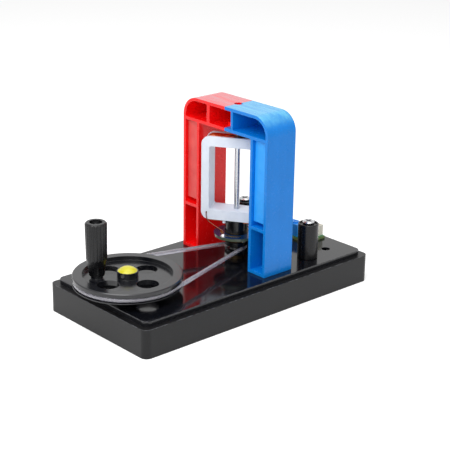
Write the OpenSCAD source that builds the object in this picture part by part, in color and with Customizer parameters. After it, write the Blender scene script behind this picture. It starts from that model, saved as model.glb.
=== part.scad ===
// Hand-cranked induction demonstrator: a belt-driven coil turns inside a
// two-colour magnet arch on a moulded tray. Millimetres, +Z up. The origin is
// the middle of the tray's underside, +X points from the crank to the posts.

/* [Tray] */
// Length of the moulded tray
base_length = 170; // [168:1:178]
// Width of the moulded tray
base_width = 86; // [84:1:96]
// Corner radius of the tray seen from above
base_corner = 4; // [3.4:0.2:8]
// Height of the skirt up to its shoulder
skirt_height = 16.5; // [16:0.5:22]
// Thickness of the glossy plate that lies on the shoulder
plate_rise = 2.8; // [2.6:0.1:3.6]
// Inset of the top plate from the skirt
plate_inset = 3.2; // [2.6:0.1:3.4]
// Wall thickness of the tray
base_wall = 2.2; // [1.9:0.1:2.4]
// Thickness of a rib that carries a boss under the plate
rib_thickness = 1.6; // [1.2:0.1:2.4]
// Wall of a boss around a pressed-in piece
boss_wall = 2; // [1.6:0.1:2.4]
// Diameter of the spare hole in the plate
spare_hole_diameter = 5.2; // [4.6:0.1:6]
// Distance of the spare hole from the tray's end
spare_hole_end = 18.6; // [17:0.2:20]
// Distance of the spare hole from the tray's side
spare_hole_inset = 17.7; // [16:0.1:20]

/* [Hand wheel] */
// Distance of the wheel axis from the tray's crank end
wheel_end = 22.2; // [20:0.2:23]
// Diameter of the hand wheel
wheel_diameter = 60.6; // [60:0.2:60.8]
// Height of the wheel's rim
wheel_height = 6.2; // [5.8:0.1:6.8]
// Gap between the plate and the wheel's rim
wheel_lift = 4.4; // [4.2:0.1:4.6]
// Diameter of the recess inside the rim
recess_diameter = 49.8; // [48:0.2:50]
// Height of the web above the rim's lower edge
web_lift = 0.8; // [0.4:0.1:1.2]
// Thickness of the web
web_thickness = 3; // [2.6:0.1:3.4]
// Diameter of a hole in the web
web_hole_diameter = 12.2; // [11:0.2:12.4]
// Distance of the web holes from the axis
web_hole_radius = 15; // [14.4:0.1:15.4]
// Turn of the first web hole
web_hole_turn = 8; // [4:1:12]
// Number of holes in the web
web_hole_count = 4; // [4:1:4]
// Diameter of the wheel's hub
wheel_hub_diameter = 11.8; // [11.4:0.1:12.4]
// Height of the wheel's hub
wheel_hub_height = 7.6; // [7.4:0.1:7.9]
// Diameter of the fixed axle
axle_diameter = 5; // [4:0.1:5.2]
// Diameter of the head that keeps the wheel on its axle
axle_head_diameter = 7; // [6.4:0.1:7]
// Height of that head
axle_head_height = 1.4; // [1.2:0.1:1.5]
// Depth of the pocket around that head
axle_pocket_depth = 2.6; // [2.5:0.1:2.8]
// Diameter of the hub cap
cap_diameter = 10.8; // [10.4:0.1:11.2]
// Height of the hub cap's dome
cap_height = 2.3; // [1.8:0.1:2.6]

/* [Handle] */
// Distance of the handle from the wheel axis
handle_radius = 16.6; // [15:0.2:18]
// Place of the handle around the wheel
handle_turn = 143; // [140:1:146]
// Diameter of the boss under the handle
handle_boss_diameter = 6.8; // [6.2:0.1:7.2]
// Height of the boss above the web
handle_boss_height = 1.5; // [1.2:0.1:2]
// Diameter of the handle's stem at its foot
stem_foot_diameter = 8.6; // [8:0.1:8.8]
// Diameter of the handle's stem where it meets the grip
stem_top_diameter = 9.6; // [9:0.1:10]
// Length of the handle's stem
stem_length = 4; // [3.4:0.2:5]
// Diameter of the fluted grip
grip_diameter = 12.2; // [11.6:0.1:14]
// Length of the fluted grip with its shoulder
grip_length = 26.3; // [25:0.1:27]
// Length of the sloping shoulder under the flutes
grip_shoulder = 5.6; // [5:0.1:6]
// Narrowing of the grip from its top to its shoulder
grip_taper = 0.3; // [0.2:0.05:0.35]
// Number of flutes around the grip
flute_count = 18; // [12:2:18]
// Diameter of the cut that makes a flute
flute_diameter = 1.5; // [1.2:0.1:1.6]
// Depth of a flute
flute_depth = 0.45; // [0.3:0.05:0.5]
// Chamfer around the grip's top
grip_chamfer = 0.8; // [0.5:0.1:1]
// Diameter of the recess in the grip's top
grip_recess_diameter = 7.2; // [6.8:0.1:7.8]
// Depth of the recess in the grip's top
grip_recess_depth = 4; // [3.4:0.1:6]
// Diameter of the pin inside the handle
handle_pin_diameter = 3.4; // [3:0.1:3.6]
// Diameter of the head of that pin
handle_head_diameter = 6; // [5.4:0.1:6]
// Height of the head of that pin
handle_head_height = 2; // [1.6:0.1:2.4]

/* [Belt drive] */
// Diameter of the round belt
belt_diameter = 2.4; // [2:0.1:2.4]
// Height of the belt above the plate
belt_lift = 6.7; // [6.6:0.05:6.8]
// Pitch radius of the belt on the hand wheel
wheel_pitch_radius = 28.8; // [28.6:0.1:28.9]
// Pitch radius of the belt on the rotor pulley
pulley_pitch_radius = 5.3; // [5.1:0.1:5.4]
// Diameter of the rotor pulley
pulley_diameter = 13.2; // [12.8:0.1:13.6]
// Height of the rotor pulley
pulley_height = 8; // [7.8:0.1:8]
// Gap between the plate and the rotor pulley
pulley_lift = 2.7; // [2.5:0.1:2.9]

/* [Rotor] */
// Distance of the rotor axis from the tray's far end
rotor_end = 67.9; // [66:0.1:69]
// Diameter of the steel shaft
shaft_diameter = 3.2; // [3:0.1:3.3]
// Diameter of the hub under the bobbin
hub_diameter = 13.4; // [12.6:0.1:13.4]
// Turn of the bobbin about the shaft at rest
bobbin_turn = 33; // [28:1:38]
// Diameter of the contact board
board_disc_diameter = 26; // [24:0.2:26]
// Thickness of the contact board
board_disc_thickness = 1.6; // [1.4:0.1:1.6]
// Height of the contact board's lower face above the plate
board_disc_lift = 13.9; // [13.8:0.1:14]

/* [Bobbin] */
// Width of a bobbin flange
flange_width = 39.2; // [38.4:0.1:39.4]
// Gap between the bobbin and the arch's beam
bobbin_headroom = 4.7; // [4.4:0.1:6.2]
// Height of the bobbin's lower edge above the plate
bobbin_lift = 23.8; // [23.6:0.1:24]
// Thickness across both flanges
bobbin_thickness = 12.6; // [12.6:0.1:12.8]
// Thickness of one flange
flange_thickness = 1.6; // [1.5:0.05:1.6]
// Corner radius of a flange
flange_corner = 4.8; // [4.4:0.1:5.4]
// Width of the window through the bobbin
window_width = 30; // [29:0.2:30.2]
// Distance of the window below the bobbin's upper edge
window_drop = 5.8; // [5.6:0.1:6.6]
// Height of the window above the bobbin's lower edge
window_lift = 6.1; // [6:0.1:7]
// Corner radius of the window
window_corner = 1.2; // [0.8:0.1:2]
// Diameter of a lead hole in a flange
lead_hole_diameter = 1.1; // [0.9:0.1:1.3]
// Distance of a lead hole from the bobbin's middle
lead_hole_side = 16.4; // [15.6:0.1:16.8]
// Height of a lead hole above the bobbin's lower edge
lead_hole_lift = 4.1; // [3.8:0.1:4.6]
// Diameter of a lug under the bobbin
lug_diameter = 1.9; // [1.4:0.1:2]
// Height of a lug under the bobbin
lug_height = 1.8; // [1.2:0.1:2.2]
// Distance of a lug from the shaft
lug_radius = 7.8; // [7.75:0.05:8.4]
// Turn of a lug from the bobbin's face
lug_turn = 51; // [44:1:58]

/* [Winding] */
// Diameter of the coil wire
wire_diameter = 0.5; // [0.44:0.02:0.52]
// Depth of the wire's outside below the flange edge
wire_depth = 0.5; // [0.4:0.1:0.7]
// Turns in the outer layer
turn_count = 8; // [6:2:8]
// Gap between the outer layer and the layers under it
layer_gap = 0.4; // [0.3:0.05:0.45]
// Build of the layers under the outer one
pack_build = 2.4; // [2:0.1:2.6]
// Gap between the outermost turns and the flanges
edge_gap = 0.15; // [0.1:0.05:0.15]
// Distance of the solder joints from the shaft
solder_radius = 10.7; // [10.2:0.1:11]
// Turn of the first solder joint about the shaft
solder_turn = 183.7; // [180:0.1:188]
// Diameter of a solder joint
solder_diameter = 3; // [2.6:0.1:3.2]

/* [Commutator and brushes] */
// Diameter across the copper segments
segment_diameter = 8; // [7.6:0.1:8]
// Thickness of a copper segment
segment_thickness = 0.75; // [0.6:0.05:0.8]
// Gap between the two copper segments
segment_split = 0.6; // [0.5:0.1:0.8]
// Thickness of a brush leaf
leaf_thickness = 0.3; // [0.25:0.05:0.35]
// Height of a brush leaf
leaf_height = 2.2; // [1.8:0.1:2.3]
// Radius of the curl at a leaf's end
curl_radius = 1.4; // [1.2:0.1:1.6]
// Length of the brush block along the tray
block_length = 6; // [5.6:0.1:7]
// Width of the brush block across the tray
block_width = 22; // [22:0.2:24]
// Distance of the brush block from the shaft
block_reach = 10.4; // [10:0.1:11]
// Distance of a block screw from the block's side
block_screw_inset = 2.6; // [2.4:0.1:2.8]
// Depth of the leaf slots in the brush block
slot_depth = 4.6; // [4.4:0.1:4.8]
// Diameter of the wires under the plate
output_wire_diameter = 1.4; // [1:0.1:1.4]

/* [Arch] */
// Distance from the rotor axis to the front of the arch
arch_front_reach = 10.5; // [10:0.1:11.4]
// Depth of the arch from front to back
arch_depth = 21.3; // [21:0.1:23]
// Width across the outside of both legs
arch_width = 70.2; // [69.6:0.2:74]
// Clear width between the legs
arch_span = 43; // [42.6:0.1:43.6]
// Height of the arch above the plate
arch_height = 92; // [91.6:0.1:96]
// Depth of the top beam
beam_height = 13.9; // [13.6:0.1:14]
// Outer corner radius of the arch
arch_corner = 11; // [9:0.2:12]
// Wall thickness of the arch
arch_wall = 1.8; // [1.6:0.05:2]
// Thickness of the closed back of the arch
arch_back = 2; // [1.8:0.1:2.4]
// Height of the shelf in each leg above the plate
shelf_lift = 26.2; // [25:0.1:28]
// Distance of the red beam rib from the seam
red_rib_start = 12.6; // [12:0.1:14]
// Thickness of the red beam rib
red_rib_thickness = 2.4; // [1.8:0.1:2.6]
// Distance of the blue beam rib from the seam
blue_rib_start = 5.2; // [5.2:0.1:5.6]
// Thickness of the blue beam rib
blue_rib_thickness = 1.6; // [1.4:0.1:2]
// Reach of the red tongue into the blue half
tongue_reach = 5; // [4.9:0.05:5]
// Wall thickness of the red tongue
tongue_wall = 1.6; // [1.4:0.05:1.6]
// Distance of the red tongue's edge behind the arch's face
tongue_setback = 6.5; // [6:0.1:7]
// Reach of the red tongue's root into the red half
tongue_root = 4; // [3.6:0.1:5]
// Diameter of the sight hole over the shaft
sight_hole_diameter = 4.7; // [4:0.1:5]
// Height of the ledge that carries a magnet above its shelf
ledge_height = 2.6; // [2:0.1:3.4]
// Set-back of that ledge from the front of the arch
ledge_setback = 6; // [5:0.5:8]
// Set-back of the magnets from the front of the arch
magnet_setback = 2; // [1.6:0.1:3]
// Diameter of the locating peg under each leg
peg_diameter = 3; // [2.4:0.1:3.4]
// Length of the locating peg
peg_length = 1.8; // [1.4:0.1:2]
// Distance of the peg from the front of the arch
peg_setback = 4; // [3.5:0.1:5]
// Gap between a magnet and the walls round it
magnet_gap = 0.2; // [0.15:0.05:0.3]

/* [Bearings] */
// Diameter of the upper bearing
upper_bearing_diameter = 5.2; // [5:0.1:5.4]
// Diameter of the upper bearing's collar
upper_collar_diameter = 6.2; // [6:0.1:6.4]
// Height of the upper bearing's collar
upper_collar_height = 1; // [0.8:0.1:1.4]
// Length of the shaft above the upper bearing
shaft_tip = 1.2; // [0.8:0.1:2]
// Diameter of the lower bearing
lower_bearing_diameter = 6.4; // [6.2:0.1:7]
// Diameter of the lower bearing's collar
lower_collar_diameter = 9; // [8.4:0.1:10]
// Depth of the lower bearing below the plate's top
lower_bearing_depth = 9; // [8:0.1:10]
// Thickness of the lower bearing's floor
bearing_floor = 1.5; // [1.2:0.1:2]

/* [Posts] */
// Distance of the posts from the tray's end
post_end = 36; // [35:0.2:37]
// Distance of each post from the tray's side
post_inset = 15.9; // [14:0.1:17]
// Diameter of a post
post_diameter = 11.9; // [11:0.1:12.4]
// Height of a post above the plate
post_height = 21; // [18:0.5:26]
// Width of the rim round a post's top
post_rim = 0.9; // [0.7:0.1:1.2]
// Depth of the dish inside that rim
post_dish = 0.7; // [0.5:0.1:1]
// Diameter of a post screw
post_screw_diameter = 4; // [3.6:0.1:4.2]
// Diameter of a post screw's head
post_head_diameter = 7; // [6.4:0.1:7.6]
// Height of a post screw's head
post_head_height = 2.2; // [1.8:0.1:2.6]
// Width across the corners of a nut
nut_diameter = 8.4; // [7.8:0.1:9]
// Height of a nut
nut_height = 3.2; // [2.8:0.1:3.6]
// Diameter of a washer
washer_diameter = 10; // [9:0.1:10.4]
// Thickness of a washer
washer_thickness = 1; // [0.8:0.1:1.2]

/* [Circuit board] */
// Distance of the small board's middle from the tray's end
circuit_end = 13.5; // [13:0.1:14]
// Length of the board along the tray
circuit_length = 16; // [15:0.1:16.4]
// Width of the board across the tray
circuit_width = 24; // [23:0.1:26]
// Thickness of the board
circuit_thickness = 1.6; // [1.4:0.1:1.8]
// Length of the ivory socket
socket_length = 5.8; // [5.4:0.1:6.2]
// Width of the ivory socket
socket_width = 7.4; // [6.8:0.1:8]
// Height of the ivory socket
socket_height = 6.5; // [5.5:0.1:8]
// Wall of the ivory socket
socket_wall = 0.9; // [0.7:0.1:1]
// Width of a contact pin in the socket
pin_width = 0.64; // [0.5:0.02:0.8]
// Distance between the two contact pins
pin_pitch = 2.5; // [2:0.1:2.6]
// Length of the blue trimmer
trimmer_length = 6.5; // [6:0.1:7]
// Width of the blue trimmer
trimmer_width = 10; // [9:0.1:10]
// Height of the blue trimmer
trimmer_height = 7.5; // [6:0.1:9]
// Distance of the trimmer from the board's front edge
trimmer_inset = 1; // [0.6:0.1:1.4]
// Shift of the trimmer off the middle line
trimmer_shift = 2; // [1.6:0.1:2]
// Distance of a board screw from the board's edges
board_screw_inset = 2.6; // [2.4:0.1:2.8]

/* [Small screws] */
// Diameter of a screw from below
screw_diameter = 2.2; // [2:0.1:2.4]
// Diameter of the head of a screw from below
screw_head_diameter = 4.6; // [4.2:0.1:4.8]
// Height of the head of a screw from below
screw_head_height = 1.6; // [1.4:0.1:1.9]
// Length of a screw from below above the plate
screw_reach = 8; // [6:0.5:9]
// Depth of a board screw below the board
board_screw_depth = 3; // [2:0.1:4]
// Height of a board screw's head
board_head_height = 1.1; // [0.9:0.1:1.4]
// Diameter of a board screw
board_screw_diameter = 1.8; // [1.6:0.1:2]
// Diameter of a board screw's head
board_head_diameter = 3.2; // [2.8:0.1:3.4]

/* [Fits] */
// Gap between pieces that move past each other
move_gap = 0.3; // [0.25:0.05:0.35]
// Radial gap of a shaft in its bearing
running_fit = 0.05; // [0.03:0.01:0.08]
// Gap between pieces that are pushed or glued together
seat_gap = 0.05; // [0.03:0.01:0.08]

/* [Hidden] */
$fn = 64;
overrun = 0.5;        // how far a cut runs past a face
quarter = 90;
half_turn = 180;
slot_share = 0.24;    // width of a screw slot as a share of its length
recess_share = 0.62;  // width of a cross recess as a share of its head
rim_share = 0.3;      // chamfer of a head as a share of its height
knee_share = 1.03;    // a knee's ball as a share of the round it joins

// Heights
plate_under = skirt_height;
plate_top = plate_under + plate_rise;
belt_z = plate_top + belt_lift;
wheel_bottom = plate_top + wheel_lift;
web_bottom = wheel_bottom + web_lift;
web_top = web_bottom + web_thickness;
wheel_hub_top = wheel_bottom + wheel_hub_height;
pocket_floor = wheel_hub_top - axle_pocket_depth;
axle_top = pocket_floor + move_gap;
pulley_bottom = plate_top + pulley_lift;
pulley_top = pulley_bottom + pulley_height;
disc_bottom = plate_top + board_disc_lift;
disc_top = disc_bottom + board_disc_thickness;
arch_top = plate_top + arch_height;
beam_bottom = arch_top - beam_height;
bobbin_bottom = plate_top + bobbin_lift;
bobbin_top = beam_bottom - bobbin_headroom;
flange_height = bobbin_top - bobbin_bottom;
bobbin_middle = (bobbin_bottom + bobbin_top) / 2;
window_height = flange_height - window_lift - window_drop;
window_middle = bobbin_bottom + window_lift + window_height / 2;
shelf_z = plate_top + shelf_lift;

// Radii
shaft_radius = shaft_diameter / 2;
belt_radius = belt_diameter / 2;
groove_radius = belt_radius + move_gap;
wheel_radius = wheel_diameter / 2;
pulley_radius = pulley_diameter / 2;
axle_radius = axle_diameter / 2;
handle_pin_radius = handle_pin_diameter / 2;
segment_radius = segment_diameter / 2;
screw_radius = screw_diameter / 2;

// Belt drive
wheel_x = wheel_end - base_length / 2;
rotor_x = base_length / 2 - rotor_end;
axle_distance = rotor_x - wheel_x;
belt_slope = asin((wheel_pitch_radius - pulley_pitch_radius) / axle_distance);
belt_contact = quarter - belt_slope;
belt_run = axle_distance * cos(belt_slope);

// Handle
boss_top = web_top + handle_boss_height;
stem_bottom = boss_top + move_gap;
grip_bottom = stem_bottom + stem_length;
grip_top = grip_bottom + grip_length;
recess_floor = grip_top - grip_recess_depth;

// Bobbin, measured from its own middle: across the flanges along N, sideways along S
bobbin_half = bobbin_thickness / 2;
flange_inner = bobbin_half - flange_thickness;
pack_inset = wire_depth + wire_diameter + layer_gap;
spool_inset = pack_inset + pack_build;
wire_inset = wire_depth + wire_diameter / 2;
loop_half_width = flange_width / 2 - wire_inset;
loop_half_height = flange_height / 2 - wire_inset;
loop_corner = flange_corner - wire_inset;
loop_start = flange_inner - edge_gap - wire_diameter / 2;
turn_pitch = 2 * loop_start / turn_count;
wire_end = layer_gap + wire_diameter / 2 - seat_gap;
shaft_side = shaft_radius + wire_diameter / 2 + seat_gap;
wire_dip = layer_gap - 3 * seat_gap;

// Arch
arch_front = rotor_x - arch_front_reach;
arch_back_x = arch_front + arch_depth;
pocket_depth = arch_depth - arch_back;
half_span = arch_span / 2;
half_arch = arch_width / 2;
leg_middle = (half_span + half_arch) / 2;
leg_pocket_width = half_arch - half_span - 2 * arch_wall;
tongue_floor = beam_bottom + arch_wall + seat_gap;
tongue_roof = arch_top - arch_wall - seat_gap;
screw_boss_radius = screw_radius + boss_wall;
screw_setback = arch_back + screw_radius + seat_gap;

// Bearings and shaft
upper_seat = tongue_floor + tongue_wall;
upper_collar_top = upper_seat + seat_gap + upper_collar_height;
shaft_top = upper_collar_top + shaft_tip;
bearing_bottom = plate_top - lower_bearing_depth;
shaft_bottom = bearing_bottom + bearing_floor + move_gap;

// Brushes
block_x = rotor_x + block_reach;
block_top = disc_bottom - move_gap;
leaf_bottom = pulley_top + move_gap;
leaf_line = segment_radius + move_gap + leaf_thickness / 2;
wire_x = block_x + slot_depth - output_wire_diameter / 2;
block_screw_x = block_x + block_length / 2;
block_screw_y = block_width / 2 - block_screw_inset;
wire_level = plate_under - output_wire_diameter / 2 - seat_gap;

// Places of holes through the plate
post_x = base_length / 2 - post_end;
post_y = base_width / 2 - post_inset;
spare_hole_x = base_length / 2 - spare_hole_end;
spare_hole_y = base_width / 2 - spare_hole_inset;
arch_screw_x = arch_back_x - screw_setback;
plate_screw_places = [
  [arch_screw_x, leg_middle], [arch_screw_x, -leg_middle],
  [block_screw_x, block_screw_y], [block_screw_x, -block_screw_y]
];
circuit_x = base_length / 2 - circuit_end;
board_screw_x = circuit_x - circuit_length / 2 + board_screw_inset;
board_screw_y = circuit_width / 2 - board_screw_inset;

// Basic shapes

module ring(outer, inner, height) {
  difference() {
    cylinder(r = outer, h = height);
    translate([0, 0, -overrun]) cylinder(r = inner, h = height + 2 * overrun);
  }
}

module rounded_square(length, width, corner) {
  square([length - 2 * corner, width], center = true);
  square([length, width - 2 * corner], center = true);
  for (x = [-1, 1], y = [-1, 1])
    translate([x * (length / 2 - corner), y * (width / 2 - corner)]) circle(r = corner);
}

module rounded_block(length, width, corner, height) {
  linear_extrude(height) rounded_square(length, width, corner);
}

// Cylinder whose two rims are chamfered, drawn as a turned profile
module turned(radius, height, chamfer) {
  rotate_extrude() polygon([
    [0, 0], [radius - chamfer, 0], [radius, chamfer],
    [radius, height - chamfer], [radius - chamfer, height], [0, height]
  ]);
}

// Straight round wire between two points
module wire_run(from, to, radius) {
  step = to - from;
  run = norm(step);
  tilt = acos(step.z / run);
  heading = atan2(step.y, step.x);
  translate(from) rotate([0, tilt, heading]) cylinder(r = radius, h = run);
}

module wire_path(points, radius) {
  for (i = [0 : len(points) - 2]) wire_run(points[i], points[i + 1], radius);
  for (i = [1 : len(points) - 2]) translate(points[i]) sphere(r = radius * knee_share);
}

module cross_recess(width, depth) {
  for (turn = [0, quarter])
    rotate(turn) translate([-width / 2, -width * slot_share / 2, -depth])
      cube([width, width * slot_share, depth + overrun]);
}

// Pan-head screw that points up, its head's upper face at zero height
module rising_screw(shank_radius, head_diameter, head_height, length) {
  cylinder(r = shank_radius, h = length);
  translate([0, 0, -head_height]) turned(head_diameter / 2, head_height, head_height * rim_share);
}

// Cross-head screw that points down, its head's lower face at zero height
module falling_screw(shank_radius, head_diameter, head_height, length) {
  difference() {
    union() {
      translate([0, 0, -length]) cylinder(r = shank_radius, h = length);
      turned(head_diameter / 2, head_height, head_height * rim_share);
    }
    translate([0, 0, head_height]) cross_recess(head_diameter * recess_share, head_height / 2);
  }
}

// Moves its children onto an axis of the device
module at_wheel() translate([wheel_x, 0, 0]) children();
module at_rotor() translate([rotor_x, 0, 0]) children();
module at_bobbin() translate([rotor_x, 0, 0]) rotate(bobbin_turn) children();

// Repeats its children half a turn round the axis
module twice_round() {
  for (turn = [0, half_turn]) rotate(turn) children();
}

// Repeats its children at the mirror place across the middle line
module both_sides() {
  for (side = [0, 1]) mirror([0, side, 0]) children();
}

// Tray

module plate_bore(x, y, radius) {
  translate([x, y, plate_under - overrun]) cylinder(r = radius, h = plate_rise + 2 * overrun);
}

// Rib across the tray with a boss in its middle; it runs into the walls and the shoulder
module boss_rib(boss_radius) {
  depth = plate_under - bearing_bottom;
  lower = skirt_height - base_wall - bearing_bottom + overrun;
  translate([0, 0, bearing_bottom]) {
    cylinder(r = boss_radius, h = depth);
    for (block = [[base_wall, lower], [base_wall + plate_inset, depth]])
      translate([-rib_thickness / 2, block[0] - overrun - base_width / 2, 0])
        cube([rib_thickness, base_width - 2 * (block[0] - overrun), block[1]]);
  }
}

module boss_bore(radius) {
  translate([0, 0, bearing_bottom - overrun])
    cylinder(r = radius, h = plate_top - bearing_bottom + 2 * overrun);
}

module boss_bores() {
  at_wheel() boss_bore(axle_radius + seat_gap);
  at_rotor() boss_bore(lower_bearing_diameter / 2 + seat_gap);
}

module tray_hollow() {
  corner = base_corner - base_wall;
  shoulder = 2 * (plate_inset + base_wall);
  translate([0, 0, -overrun]) {
    rounded_block(base_length - 2 * base_wall, base_width - 2 * base_wall, corner,
      skirt_height - base_wall + overrun);
    rounded_block(base_length - shoulder, base_width - shoulder, corner,
      skirt_height + 2 * overrun);
  }
}

module base_shell() {
  color([0.07, 0.07, 0.075]) difference() {
    union() {
      difference() {
        rounded_block(base_length, base_width, base_corner, skirt_height);
        tray_hollow();
      }
      at_wheel() boss_rib(axle_radius + boss_wall);
      at_rotor() boss_rib(lower_bearing_diameter / 2 + boss_wall);
    }
    boss_bores();
  }
}

module base_plate() {
  color([0.06, 0.06, 0.065]) difference() {
    translate([0, 0, plate_under])
      rounded_block(base_length - 2 * plate_inset, base_width - 2 * plate_inset, base_corner,
        plate_rise);
    boss_bores();
    for (place = plate_screw_places) plate_bore(place.x, place.y, screw_radius + seat_gap);
    both_sides() {
      plate_bore(arch_front + peg_setback, leg_middle, peg_diameter / 2 + seat_gap);
      plate_bore(post_x, post_y, post_screw_diameter / 2 + seat_gap);
      plate_bore(wire_x, leaf_line, output_wire_diameter / 2 + seat_gap);
      plate_bore(board_screw_x, board_screw_y, board_screw_diameter / 2 + seat_gap);
    }
    plate_bore(spare_hole_x, -spare_hole_y, spare_hole_diameter / 2);
  }
}

// Hand wheel

module groove_cut(pitch_radius, rim_radius) {
  translate([pitch_radius, belt_z]) circle(r = groove_radius);
  translate([pitch_radius, belt_z - groove_radius])
    square([rim_radius - pitch_radius + overrun, 2 * groove_radius]);
}

module wheel_profile() {
  rim_soften = 0.5;
  hub_radius = wheel_hub_diameter / 2;
  recess_radius = recess_diameter / 2;
  rim_top = wheel_bottom + wheel_height;
  difference() {
    union() {
      polygon([
        [recess_radius, wheel_bottom], [wheel_radius - rim_soften, wheel_bottom],
        [wheel_radius, wheel_bottom + rim_soften], [wheel_radius, rim_top - rim_soften],
        [wheel_radius - rim_soften, rim_top], [recess_radius, rim_top]
      ]);
      translate([axle_radius + running_fit, web_bottom])
        square([recess_radius - axle_radius, web_thickness]);
      translate([axle_radius + running_fit, wheel_bottom])
        square([hub_radius - axle_radius - running_fit, wheel_hub_height]);
    }
    groove_cut(wheel_pitch_radius, wheel_radius);
    translate([0, pocket_floor])
      square([axle_head_diameter / 2 + move_gap, axle_pocket_depth + overrun]);
  }
}

module handle_place() {
  at_wheel() rotate(handle_turn) translate([handle_radius, 0, 0]) children();
}

module crank_wheel() {
  color([0.05, 0.05, 0.055]) difference() {
    union() {
      at_wheel() rotate_extrude() wheel_profile();
      handle_place() translate([0, 0, web_bottom])
        cylinder(r = handle_boss_diameter / 2, h = boss_top - web_bottom);
    }
    at_wheel() for (i = [0 : web_hole_count - 1])
      rotate(web_hole_turn + i * 2 * half_turn / web_hole_count)
        translate([web_hole_radius, 0, web_bottom - overrun])
          cylinder(r = web_hole_diameter / 2, h = web_thickness + 2 * overrun);
    handle_place() translate([0, 0, web_bottom - overrun])
      cylinder(r = handle_pin_radius + seat_gap, h = boss_top - web_bottom + 2 * overrun);
  }
}

module wheel_axle() {
  thread_depth = 8;
  color([0.72, 0.73, 0.75]) at_wheel() translate([0, 0, bearing_bottom]) difference() {
    cylinder(r = axle_radius, h = axle_top - bearing_bottom);
    translate([0, 0, axle_top - bearing_bottom - thread_depth])
      cylinder(r = screw_radius + seat_gap, h = thread_depth + overrun);
  }
}

module axle_spacer() {
  color([0.75, 0.76, 0.78]) at_wheel() translate([0, 0, plate_top])
    ring(wheel_hub_diameter / 2, axle_radius + seat_gap, wheel_lift - move_gap);
}

module axle_screw() {
  shank = 7;
  color([0.75, 0.76, 0.78]) at_wheel() translate([0, 0, axle_top])
    falling_screw(screw_radius, axle_head_diameter, axle_head_height, shank);
}

module hub_cap() {
  cap_radius = cap_diameter / 2;
  dome_radius = (cap_radius * cap_radius + cap_height * cap_height) / (2 * cap_height);
  spigot_height = axle_pocket_depth - axle_head_height - 2 * move_gap;
  color([0.93, 0.86, 0.08]) at_wheel() translate([0, 0, wheel_hub_top]) {
    rotate_extrude() intersection() {
      translate([0, cap_height - dome_radius]) circle(r = dome_radius);
      square([cap_radius, cap_height]);
    }
    translate([0, 0, -spigot_height])
      cylinder(r = axle_head_diameter / 2 + move_gap - seat_gap, h = spigot_height);
  }
}

// Handle

module handle_grip() {
  bore_radius = handle_pin_radius + running_fit;
  grip_radius = grip_diameter / 2;
  color([0.05, 0.05, 0.055]) handle_place() difference() {
    rotate_extrude() polygon([
      [0, stem_bottom], [stem_foot_diameter / 2, stem_bottom],
      [stem_top_diameter / 2, grip_bottom],
      [grip_radius - grip_taper, grip_bottom + grip_shoulder],
      [grip_radius, grip_top - grip_chamfer], [grip_radius - grip_chamfer, grip_top],
      [0, grip_top]
    ]);
    for (i = [0 : flute_count - 1])
      rotate(i * 2 * half_turn / flute_count)
        translate([grip_radius + flute_diameter / 2 - flute_depth, 0, grip_bottom - overrun])
          cylinder(r = flute_diameter / 2, h = grip_length + 2 * overrun);
    translate([0, 0, stem_bottom - overrun])
      cylinder(r = bore_radius, h = recess_floor - stem_bottom + 2 * overrun);
    translate([0, 0, recess_floor])
      cylinder(r = grip_recess_diameter / 2, h = grip_recess_depth + overrun);
  }
}

module handle_pin() {
  head_bottom = recess_floor + move_gap;
  color([0.6, 0.6, 0.62]) handle_place() translate([0, 0, head_bottom])
    falling_screw(handle_pin_radius, handle_head_diameter, handle_head_height,
      head_bottom - web_bottom);
}

// Belt drive

module drive_belt() {
  color([0.8, 0.8, 0.84, 0.6]) translate([0, 0, belt_z]) {
    at_wheel() rotate(belt_contact)
      rotate_extrude(angle = 2 * (half_turn - belt_contact))
        translate([wheel_pitch_radius, 0]) circle(r = belt_radius);
    at_rotor() rotate(-belt_contact)
      rotate_extrude(angle = 2 * belt_contact)
        translate([pulley_pitch_radius, 0]) circle(r = belt_radius);
    both_sides() {
      at_wheel() rotate(belt_contact) translate([wheel_pitch_radius, 0, 0]) {
        rotate([quarter, 0, 0]) cylinder(r = belt_radius, h = belt_run);
        sphere(r = belt_radius * knee_share);
      }
      at_rotor() rotate(belt_contact) translate([pulley_pitch_radius, 0, 0])
        sphere(r = belt_radius * knee_share);
    }
  }
}

module rotor_pulley() {
  soften = 0.4;
  sleeve_radius = segment_radius - segment_thickness - seat_gap;
  color([0.05, 0.05, 0.055]) at_rotor() rotate_extrude() difference() {
    union() {
      polygon([
        [0, pulley_bottom], [pulley_radius - soften, pulley_bottom],
        [pulley_radius, pulley_bottom + soften], [pulley_radius, pulley_top - soften],
        [pulley_radius - soften, pulley_top], [0, pulley_top]
      ]);
      translate([0, pulley_top]) square([sleeve_radius, disc_bottom - seat_gap - pulley_top]);
    }
    square([shaft_radius + seat_gap, disc_bottom + overrun]);
    groove_cut(pulley_pitch_radius, pulley_radius);
  }
}

module commutator_segments() {
  segment_bottom = pulley_top + seat_gap;
  segment_height = disc_bottom - seat_gap - segment_bottom;
  color([0.78, 0.5, 0.32]) at_bobbin() translate([0, 0, segment_bottom]) difference() {
    ring(segment_radius, segment_radius - segment_thickness, segment_height);
    translate([-segment_radius - overrun, -segment_split / 2, -overrun])
      cube([segment_diameter + 2 * overrun, segment_split, segment_height + 2 * overrun]);
  }
}

// Rotor

module rotor_shaft() {
  color([0.75, 0.76, 0.78]) at_rotor() translate([0, 0, shaft_bottom])
    turned(shaft_radius, shaft_top - shaft_bottom, shaft_radius * rim_share);
}

module rotor_hub() {
  color([0.05, 0.05, 0.055]) at_rotor() translate([0, 0, disc_top + seat_gap])
    ring(hub_diameter / 2, shaft_radius + seat_gap, bobbin_bottom - disc_top - 2 * seat_gap);
}

// Rounded upright slab across the bobbin's thickness, from one N place to another
module upright_slab(width, height, corner, from, to) {
  translate([from, 0, bobbin_middle]) rotate([quarter, 0, quarter])
    rounded_block(width, height, corner, to - from);
}

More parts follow.
